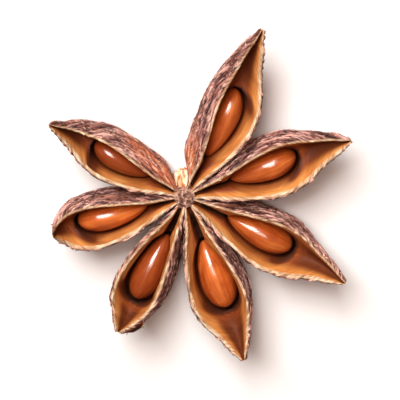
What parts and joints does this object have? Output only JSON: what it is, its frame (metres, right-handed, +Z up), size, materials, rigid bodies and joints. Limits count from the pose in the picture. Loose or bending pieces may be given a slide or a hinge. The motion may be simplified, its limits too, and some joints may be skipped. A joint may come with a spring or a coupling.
{
  "type": "star anise pod",
  "caption": "Dried star-shaped spice pod with boat-shaped woody carpels split along the top, a glossy seed in each and one carpel broken off.",
  "frame": {"origin": "middle of the cut stalk's flat end, in the plane that the keels rest on", "axes": "+Z up out of the open side, +Y from the column towards the broken carpel's side, +X to the right seen from above"},
  "size_m": [0.0333, 0.0379, 0.0098],
  "materials": {
    "husk": "matte",
    "seed_coat": "gloss"
  },
  "bodies": {
    "root": {"pod": "husk", "seed_1": "seed_coat", "seed_2": "seed_coat", "seed_3": "seed_coat", "seed_4": "seed_coat", "seed_5": "seed_coat", "seed_6": "seed_coat", "seed_7": "seed_coat"}
  },
  "joints": []
}
